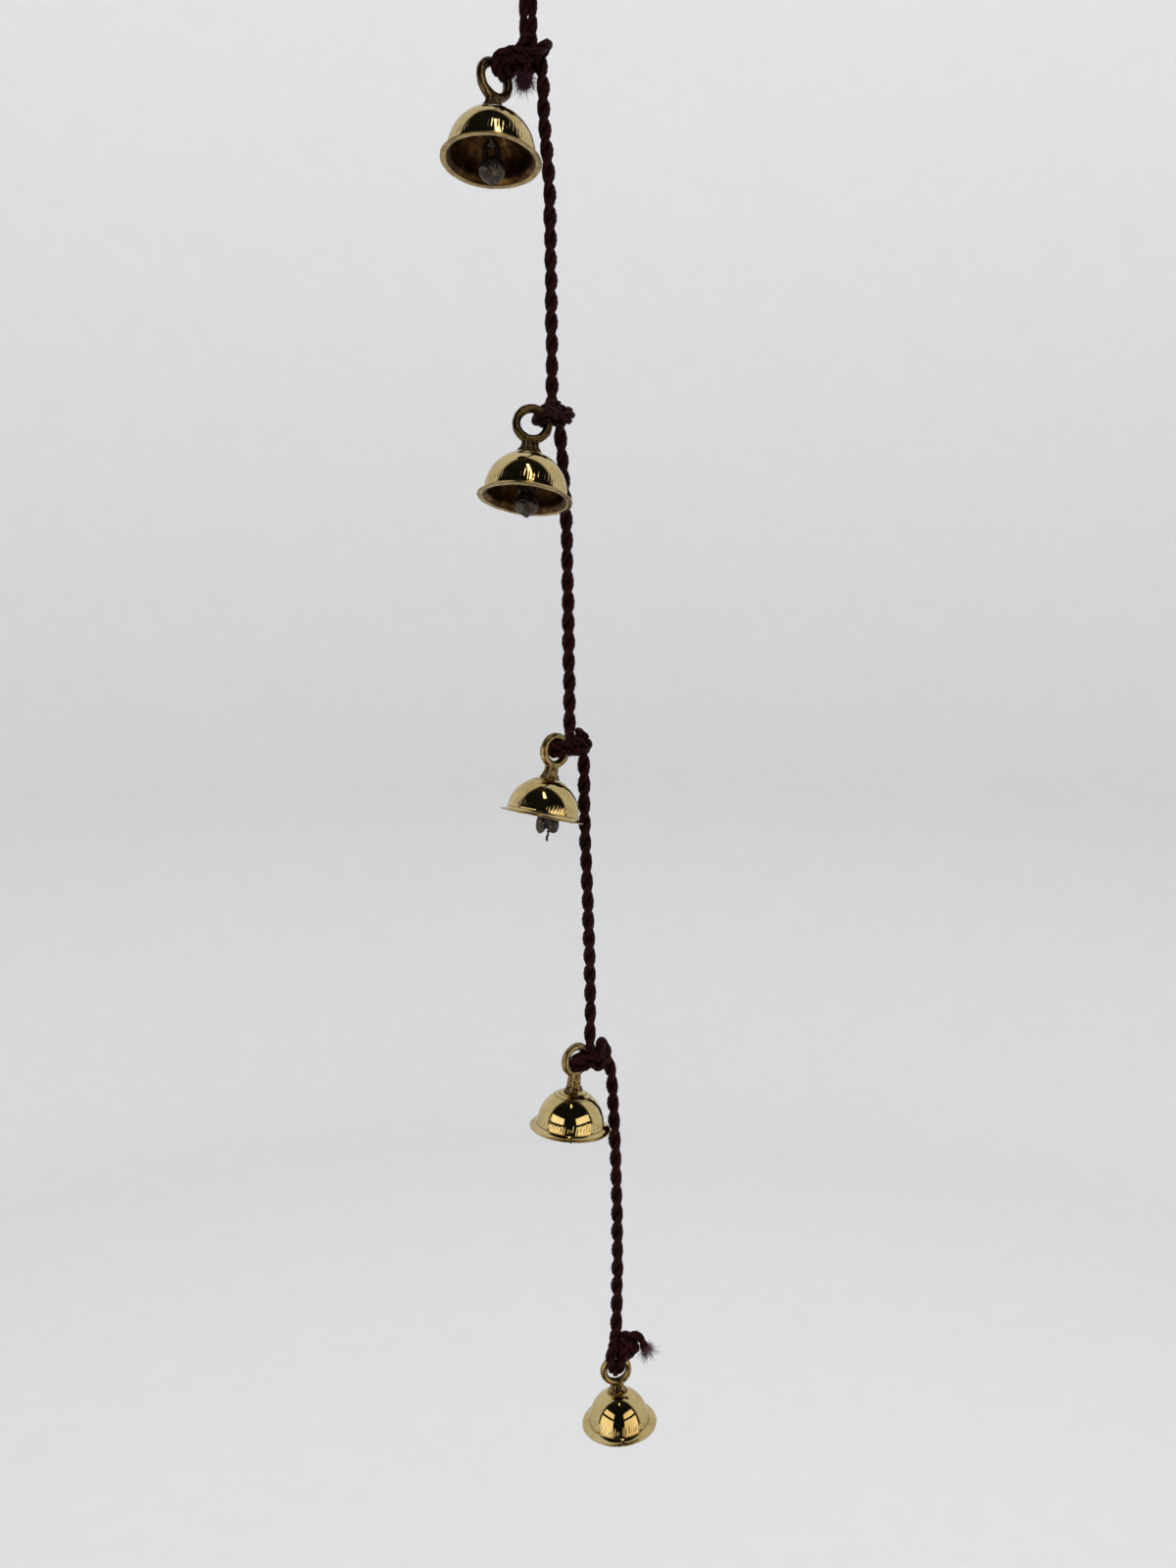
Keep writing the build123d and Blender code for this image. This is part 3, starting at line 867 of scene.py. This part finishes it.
def cup_profile(bell, wide):
    """The cup's closed section from crown to lip and back inside, and where its parts end."""
    in_wide, in_up = wide - WALL, DOME_R - WALL
    flare_out = np.degrees(np.arccos((FLARE_TOP - bell.dome) / DOME_R))
    flare_in = np.degrees(np.arccos((FLARE_TOP - bell.dome) / in_up))
    crown_out = np.degrees(np.arcsin(SHANK_R / wide))
    crown_in = np.degrees(np.arcsin(SHANK_R / in_wide))
    crown = dome_arc(bell.dome, wide, DOME_R, crown_out, BAND_ANGLE, 30)
    band = dome_arc(bell.dome, wide, DOME_R, BAND_ANGLE, flare_out, 34)[1:]
    middle = ((wide + LIP_TOP[0]) / 2 - BRIM_HOLLOW, BRIM_HEIGHT)
    brim = arc_through(band[-1], middle, LIP_TOP, 12)[1:]
    edge = arc_through(LIP_TOP, LIP_EDGE, (LIP_OUT, 0.0), 6)[1:]
    face = np.stack([np.linspace(LIP_OUT, LIP_IN, 6)[1:], np.full(5, 0.0)], -1)
    face[:, 1] -= 0.002 * np.sin(np.linspace(0, pi, 5))
    in_dome = dome_arc(bell.dome, in_wide, in_up, flare_in, crown_in, 20)
    middle = ((in_wide + LIP_IN) / 2 - BRIM_HOLLOW_IN, BRIM_HEIGHT_IN)
    in_brim = arc_through((LIP_IN, 0), middle, in_dome[0], 9)[1:-1]
    profile = np.concatenate([crown, band, brim, edge, face, in_brim, in_dome])
    outside = len(crown) + len(band) + len(brim) - 1
    return profile, outside, outside + 1 + len(edge) + len(face), crown_out, flare_out


def chisel_strokes(theta, radius, share, local):
    """How deep the strokes cut, from 0 to 1: a little slanted, in a band above the brim."""
    groove = np.zeros(radius.shape)
    pitch = 2 * pi / STROKES
    for k in range(STROKES):
        low = local.uniform(*STROKE_LOW)
        long = local.uniform(*STROKE_LONG)
        deep = local.uniform(*STROKE_DEEP)
        along = (share - low) / long
        middle = k * pitch + STROKE_SLANT * pitch * along + local.normal() * STROKE_SCATTER * pitch
        off = np.angle(np.exp(1j * (theta[None, :] - middle)))
        cut = np.clip(1 - np.abs(off) * radius / STROKE_HALF_WIDTH, 0, 1)
        ends = np.clip(along / 0.2, 0, 1) * np.clip((1 - along) / 0.45, 0, 1)
        groove = np.maximum(groove, cut * ends * (deep / STROKE_DEEP[1]))
    return groove


def make_cup(number, bell):
    d = bell.diameter
    place = bell_place(bell)
    profile, outside, lip_end, crown_out, flare_out = cup_profile(bell, DOME_SHARES[number - 1])
    rows, columns = len(profile), STROKES * STROKE_COLUMNS

    theta = np.linspace(0, 2 * pi, columns, endpoint=False)
    radius = profile[:, 0][:, None] * d * np.ones(columns)
    height = profile[:, 1][:, None] * d * np.ones(columns)
    out_rows = np.arange(rows)[:, None] <= outside
    angle = np.degrees(np.arctan2(profile[:, 0], profile[:, 1] - bell.dome))[:, None]

    # lathe ridges round the crown, with patina and painted shade beside them, at the brim's crease
    # and round the crown's foot
    local = np.random.default_rng(500 + number)
    lift = np.zeros((rows, columns))
    patina_and_shade = np.zeros((rows, columns))
    for at, high in RIDGES[number - 1]:
        wave = at + 0.8 * np.sin(theta * 2 + local.uniform(0, 6))[None, :]
        bump = np.exp(-(((angle - wave) / 1.3) ** 2))
        lift += high * bump
        patina_and_shade += 0.9 * np.exp(-(((angle - wave - 2.4) / 1.2) ** 2))
    lift -= 0.10 * np.exp(-(((angle - flare_out) / 0.8) ** 2))
    patina_and_shade += 0.8 * np.exp(-(((angle - flare_out) / 1.0) ** 2))
    patina_and_shade += 0.8 * np.clip(1 - (angle - crown_out) / 7, 0, 1)

    share = height / d
    groove = chisel_strokes(theta, radius, share, local) * out_rows
    lift = (lift - STROKE_CUT * groove) * out_rows
    radius = radius + lift * np.sin(np.radians(angle))
    height = height + lift * np.cos(np.radians(angle))

    # the lip isn't quite flat or round
    lip = np.exp(-(((share - 0.005) / 0.03) ** 2))
    wobble = sum(high * np.sin(waves * theta + local.uniform(0, 6)) for high, waves in LIP_WAVES)
    height = height + lip * wobble[None, :]
    radius = radius + lip * 0.6 * np.roll(wobble, 90)[None, :]

    points = np.stack(
        [radius * np.cos(theta), radius * np.sin(theta), height], -1
    ).reshape(-1, 3)
    soft = lumps(points, 11.0, 40 + number) * 0.022
    soft *= out_rows.repeat(columns, 1).ravel()
    points += unit(points - (0, 0, bell.dome * d)) * soft[:, None]
    faces = grid_faces(rows, columns, closed_rows=True)[:, ::-1]
    row = np.repeat(np.arange(rows), columns)
    kind = np.where(row < outside, 0, np.where(row < lip_end, 1, 2))
    metals = [cup_out, cup_lip, cup_in]
    obj = add_mesh(f"bell_{number}_engraved_cup", place.at(points), faces, metals, kind)
    add_value(obj, "groove", groove.ravel())
    add_value(obj, "patina_and_shade", np.clip(patina_and_shade, 0, 1).ravel())
    declare(obj, "cup_brass", f"bell_{number}", f"bell_{number}_cup")


# ---- rings


# Shares of the diameter: sideways and up, from the ring's centre and then from the crown
LEG_FROM_RING = [(0.040, -0.150), (0.044, -0.195)]
LEG_FROM_CROWN = [(0.052, 0.045), (0.074, 0.010), (0.092, -0.025)]
FOOT_AT, FOOT_SIZE = (0.088, -0.012), (0.056, 0.056, 0.020)
WEB_UP, WEB_SIZE = 0.055, (0.062, 0.040, 0.070)
BAR_FULL = 1.24  # the worn bar's thickness over the plain one's


def make_ring(number, bell):
    """A round bar bent to a ring, its two legs spread and brazed on the crown."""
    d = bell.diameter
    ring = ring_place(bell)
    bar = BAR_FULL * RING_BAR_R * d
    a = np.linspace(0, 2 * pi, 96, endpoint=False)
    round_line = ring.at(hoop(RING_R * d, RING_R * d, a))
    radii = bar * (1 + 0.05 * np.sin(3 * a + number) + 0.12 * np.clip(-np.sin(a) - 0.7, 0, 1))
    parts = [tube(round_line, radii, sides=20, closed=True, flat=1.08, flat_dir=ring.y)]
    crown = bell.dome + DOME_R - bell.ring
    for way in (-1, 1):
        leg = [(way * x, 0, z) for x, z in LEG_FROM_RING]
        leg += [(way * x, 0, crown + z) for x, z in LEG_FROM_CROWN]
        leg = resampled(np.array(leg) * d, range(5), np.linspace(0, 4, 21))
        parts.append(tube(ring.at(leg), bar * np.linspace(0.95, 1.12, 21), sides=18))
        at = ring.at((way * FOOT_AT[0] * d, 0, (crown + FOOT_AT[1]) * d))
        parts.append(ball(at, sized(FOOT_SIZE, d), ring))
    if number < 5:
        parts.append(ball(ring.at((0, 0, (crown + WEB_UP) * d)), sized(WEB_SIZE, d), ring))
    obj = fused(f"bell_{number}_bent_ring", parts, 0.24, 5, [ring_metal])
    p, n = points_and_normals(obj)
    rough = lumps(p, 5.0, 60 + number) * 0.06 + lumps(p, 1.9, 70 + number) * 0.035
    up = (p - ring.origin) @ ring.z / d
    low = np.clip((-0.17 - up) / 0.10, 0, 1)
    rough += low * lumps(p, 1.2, 80 + number) * 0.10
    move_points(obj, p + n * rough[:, None])
    # painted shade on the ring's inner face, darker dents on the rough lower legs, and each ring's
    # patina and painted reflection
    inside = np.clip(-((p - ring.origin) * n).sum(1) / (0.10 * d), 0, 1) * 0.55
    dark = inside + low * np.clip(0.25 - lumps(p, 1.2, 80 + number), 0, 1) + RING_DARK[number - 1]
    add_value(obj, "patina_and_shade", np.clip(dark, 0, 1))
    declare(obj, "ring_brass", f"bell_{number}", f"bell_{number}_ring")


# ---- ironwork


def make_staple(number, bell):
    """A wire eye facing the viewer, whose two ends go up through the crown."""
    d = bell.diameter
    base = bell_place(bell)
    eye = Place(base.at((0, 0, bell.staple * d)), base.x, base.z)
    wire = STAPLE_WIRE_R * d
    a = np.radians(np.linspace(-240, 60, 26))
    loop = hoop(STAPLE_R * d, STAPLE_R * d, a)
    top = bell.dome + DOME_R + 0.012 - bell.staple
    parts = [tube(eye.at(loop), wire, sides=14)]
    for way, end in ((-1, loop[0]), (1, loop[-1])):
        leg = [end, *((way * x * d, 0, z * d) for x, z in ((0.016, 0.065), (0.013, top)))]
        parts.append(tube(eye.at(np.array(leg)), wire * 0.9, sides=12))
    parts.append(ball(eye.at((0, 0, top * d)), sized(STAPLE_HEAD, d), eye))
    obj = fused(f"bell_{number}_wire_staple", parts, 0.16, 3, [iron])
    declare(obj, "iron", f"bell_{number}", f"bell_{number}_staple")


def make_link(number, bell):
    """A long closed loop of wire, seen edge-on from the front."""
    d = bell.diameter
    place = link_place(bell)
    end_r = LINK_R * d
    low = -(LINK_BOTTOM - 2 * LINK_R) * d
    a = np.linspace(0, pi, 14)
    top = np.stack([end_r * np.cos(a), 0 * a, -end_r + end_r * np.sin(a)], -1)
    bottom = np.stack([-end_r * np.cos(a), 0 * a, low - end_r * np.sin(a)], -1)
    line = np.concatenate([top, bottom])
    local = np.random.default_rng(900 + number)
    turn = np.linspace(0, 2 * pi, len(line), endpoint=False)
    line[:, 1] += 0.12 * np.sin(turn + local.uniform(0, 6))
    closed = np.concatenate([line, line[:1]])
    reach = reach_of(closed)
    even = np.linspace(0, reach[-1], 90, endpoint=False)
    line = resampled(closed, reach, even)
    radii = WIRE_FULL * LINK_WIRE_R * d * (1 + 0.06 * np.sin(even * 2.1))
    verts, faces = tube(place.at(line), radii, sides=14, closed=True)
    obj = add_mesh(f"bell_{number}_wire_link", verts, faces, [iron])
    declare(obj, "iron", f"link_{number}", f"bell_{number}_link")


# Shares of the diameter, downwards from the clapper's pivot: the third bell's clapper is a leaf
LEAF = 3
Eye = namedtuple("Eye", "wide tall bar")
LEAF_EYE = Eye(0.045, 0.045, 0.020)
BOB_EYE = Eye(0.064, 0.088, 0.034)
LOBES = ((-1, 0.070, 12), (1, 0.086, -9))  # side, half width and turn in degrees
LOBE_DEEP, LOBE_TALL, LOBE_OUT = 0.095, 0.138, 0.060
LEAF_FORWARD = 0.035
TAIL_LINE = [(0, 0, -0.29), (0.012, 0, -0.34), (-0.006, 0.004, -0.38), (0.008, 0, -0.42)]
LEAF_NECK_AT, LEAF_NECK = -0.085, (0.062, 0.050, 0.062)
BOB_NECK_AT, BOB_NECK = -0.128, (0.095, 0.075, 0.052)
BOB_TALL, BOB_DROP = 0.127, 0.008
TIP_DROP, TIP = 0.130, (0.03, 0.03, 0.018)


def make_clapper(number, bell):
    """A hammered drop with an eye; the third bell's is a folded leaf with a wire tail."""
    d = bell.diameter
    place = clapper_place(bell)
    shape = LEAF_EYE if number == LEAF else BOB_EYE
    wide, tall, bar = sized(shape, d)
    # the eye's top rests on the link's wire, with 0.2 mm of play
    eye = Place(place.at((0, 0, WIRE_FULL * LINK_WIRE_R * d + bar - tall + 0.2)), place.y, place.z)
    a = np.linspace(0, 2 * pi, 48, endpoint=False)
    parts = [tube(eye.at(hoop(wide, tall, a)), bar, sides=16, closed=True)]
    widest = -BOB_WIDEST * d
    middle = widest - BOB_DROP * d
    if number == LEAF:
        leaf = Place(place.at((0, 0, 0)) - place.y * LEAF_FORWARD * d, -place.y, place.z)
        for way, width, turn in LOBES:
            lobe = Place((0, 0, 0), spin(leaf.x, leaf.y, turn), spin(leaf.z, leaf.y, turn))
            at = leaf.at((way * LOBE_OUT * d, 0, middle))
            parts.append(ball(at, sized((width, LOBE_DEEP, LOBE_TALL), d), lobe))
        fine = np.linspace(0, 3, 24)
        tail = resampled(np.array(TAIL_LINE) * d, range(4), fine)
        beads = 0.66 * (1 + 0.25 * np.sin(fine * 9))
        parts.append(tube(leaf.at(tail), beads, sides=10))
        parts.append(ball(place.at((0, 0, LEAF_NECK_AT * d)), sized(LEAF_NECK, d), place))
    else:
        for z, size in (
            (middle, (BOB_R, BOB_R, BOB_TALL)),
            (BOB_NECK_AT * d, BOB_NECK),
            (widest - TIP_DROP * d, TIP),
        ):
            parts.append(ball(place.at((0, 0, z)), sized(size, d), place))
    obj = fused(f"bell_{number}_hammered_clapper", parts, 0.24, 3, [iron])
    p, n = points_and_normals(obj)
    up = (p - place.origin) @ place.z / d
    low = np.clip((-0.09 - up) / 0.04, 0, 1)
    hammer = -np.abs(lumps(p, 4.2, 20 + number)) * 0.30 + lumps(p, 1.4, 30 + number) * 0.06
    move_points(obj, p + n * (hammer * low)[:, None])
    declare(obj, "iron", f"clapper_{number}", f"bell_{number}_clapper")


for number, bell in enumerate(BELLS, start=1):
    make_cup(number, bell)
    make_ring(number, bell)
    make_staple(number, bell)
    make_link(number, bell)
    make_clapper(number, bell)

# ---- stage, lights and world
FLOOR_Z = -0.95
BOWL_R = 1.5
COVE_R = 0.45
WALL_TOP = 1.7


def make_stage():
    """A pale round studio: a floor that curves up into a wall on every side."""
    a = np.linspace(0, pi / 2, 14)
    cove = [(BOWL_R - COVE_R + COVE_R * sin(t), FLOOR_Z + COVE_R - COVE_R * cos(t)) for t in a]
    profile = np.array([(0.001, FLOOR_Z), *cove, (BOWL_R, WALL_TOP)])
    points = turned(profile[:, 0], profile[:, 1], 96) / MM
    bowl = add_mesh("studio", points, grid_faces(len(profile), 96), [pale_plaster()])
    bowl.visible_glossy = False


def area_light(name, at, towards, size, power, colour):
    """A lamp that only the brass sees, and that doesn't light the studio."""
    light = bpy.data.lights.new(name, "AREA")
    light.shape = "RECTANGLE"
    light.size, light.size_y = size
    light.energy = power
    light.color = colour
    obj = bpy.data.objects.new(name, light)
    obj.location = at
    obj.rotation_euler = (Vector(towards) - Vector(at)).to_track_quat("-Z", "Y").to_euler()
    obj.visible_camera = False
    obj.visible_diffuse = False
    bpy.context.scene.collection.objects.link(obj)
    return obj


MIDDLE = (0.02, 0, -0.35)
soft = area_light("soft_top", (0.3, -0.7, 1.6), MIDDLE, (1.6, 1.2), 24, (1.0, 0.99, 0.97))
# this one does the opposite: it lights everything, and no metal mirrors it
soft.visible_diffuse = True
soft.visible_glossy = False
WARM = (1.0, 0.90, 0.70)
# a narrow lamp close in front of the two top bells, which the lower ones see high overhead
area_light("strip_lamp", (0.042, -0.145, 0.0), (0.0, 0, 0.0), (0.034, 0.38), 0.11, WARM)
# two tall windows, each of an upper and a lower pane, which only the lower bells see whole
for side, x in (("left", -0.292), ("right", 0.332)):
    for pane, z, tall, power in (("upper", -0.345, 0.17, 0.26), ("lower", -0.70, 0.42, 0.60)):
        area_light(f"{side}_{pane}_pane", (x, -0.281, z), (0.03, 0, z), (0.41, tall), power, WARM)


SKY = (1.15, 1.15, 1.17)
SIDES_FORWARD = 0.30  # how far the room's pale sides come forward of its pale ceiling


def make_world():
    """Pale behind the string and dark in front of it, which the polished brass mirrors."""
    world = bpy.data.worlds.new("room")
    bpy.context.scene.world = world
    n = Nodes(world)
    way = n.add("ShaderNodeSeparateXYZ", {0: n.add("ShaderNodeTexCoord").outputs["Generated"]})
    sideways = n.maths("ABSOLUTE", way.outputs["X"])
    behind = n.maths("MULTIPLY_ADD", sideways, SIDES_FORWARD, way.outputs["Y"])
    mirrored = n.ramp(
        n.range(behind, -1, 1),
        (0.525, (0.006, 0.006, 0.007)),
        (0.575, (0.050, 0.048, 0.045)),
        (0.615, (0.54, 0.54, 0.52)),
    )
    # everything but a mirror's rays sees a plain pale sky over the studio
    glossy = n.add("ShaderNodeLightPath").outputs["Is Glossy Ray"]
    n.feed(n.tree.nodes["Background"], {"Color": n.mix(glossy, SKY, mirrored)})


make_stage()
make_world()
